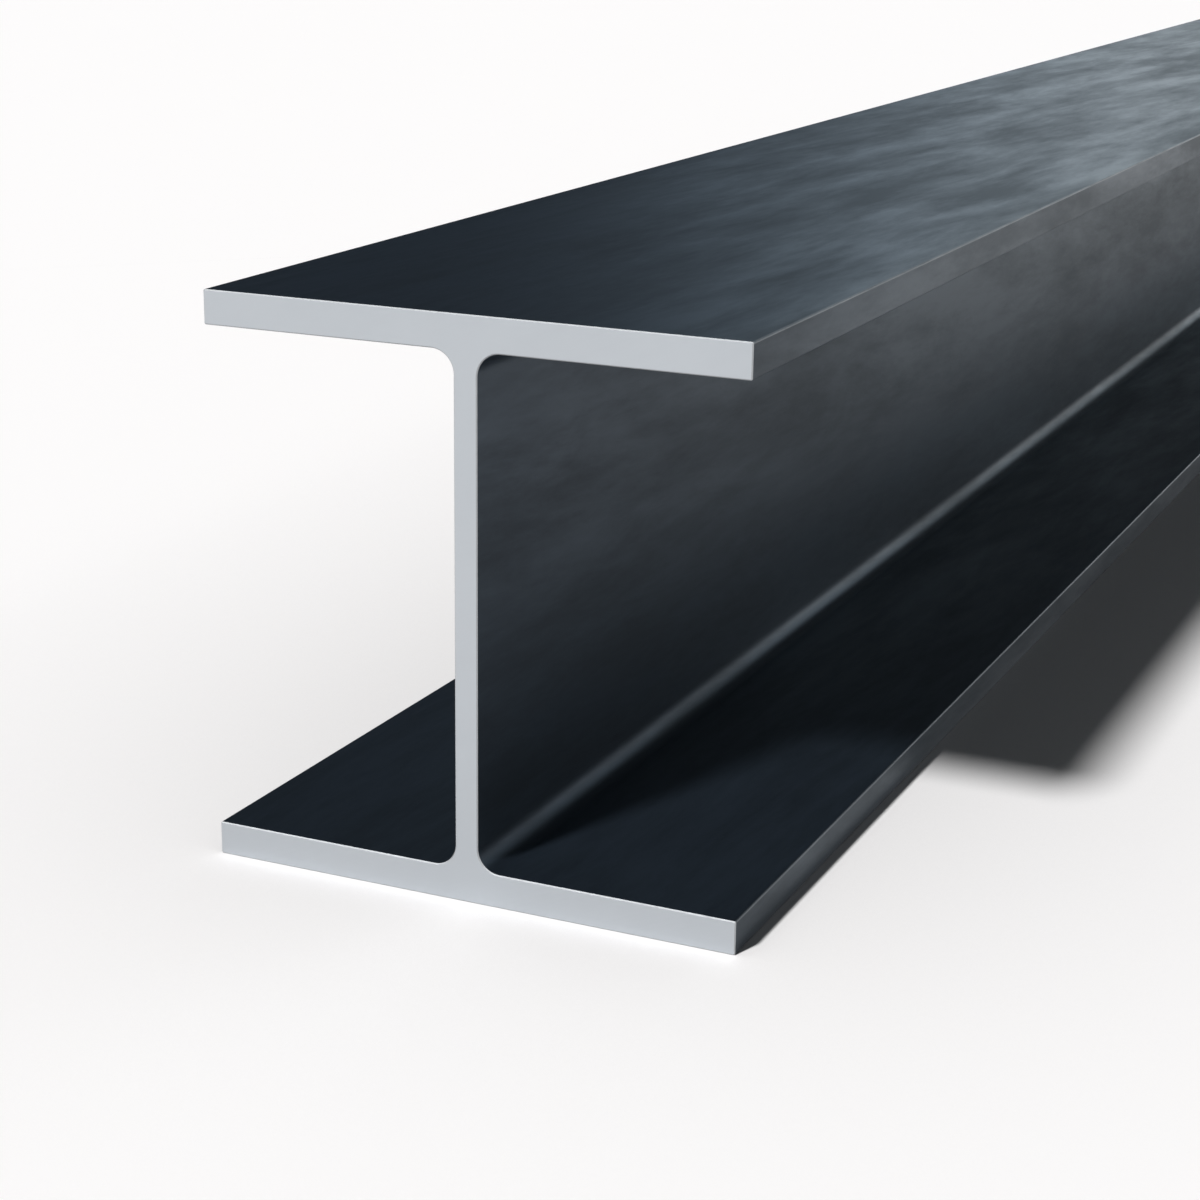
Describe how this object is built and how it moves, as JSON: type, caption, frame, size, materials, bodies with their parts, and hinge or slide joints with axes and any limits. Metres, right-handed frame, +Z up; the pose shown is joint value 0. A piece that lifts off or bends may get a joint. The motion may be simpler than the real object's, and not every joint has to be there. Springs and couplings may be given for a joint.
{
  "type": "steel i-beam",
  "caption": "Hot-rolled wide-flange steel beam with parallel flanges, filleted web and square sawn ends, for framing and lintels.",
  "frame": {"origin": "middle of the underside of the bottom flange: mid-length, on the web's centre plane, level with the surface the beam lies on", "axes": "+Y along the beam, +X across the flanges, +Z up the web from the bottom flange to the top flange"},
  "size_m": [0.1528, 3, 0.1575],
  "materials": {
    "mill_scale_steel": "satin"
  },
  "bodies": {
    "root": {"i_beam": "mill_scale_steel"}
  },
  "joints": []
}
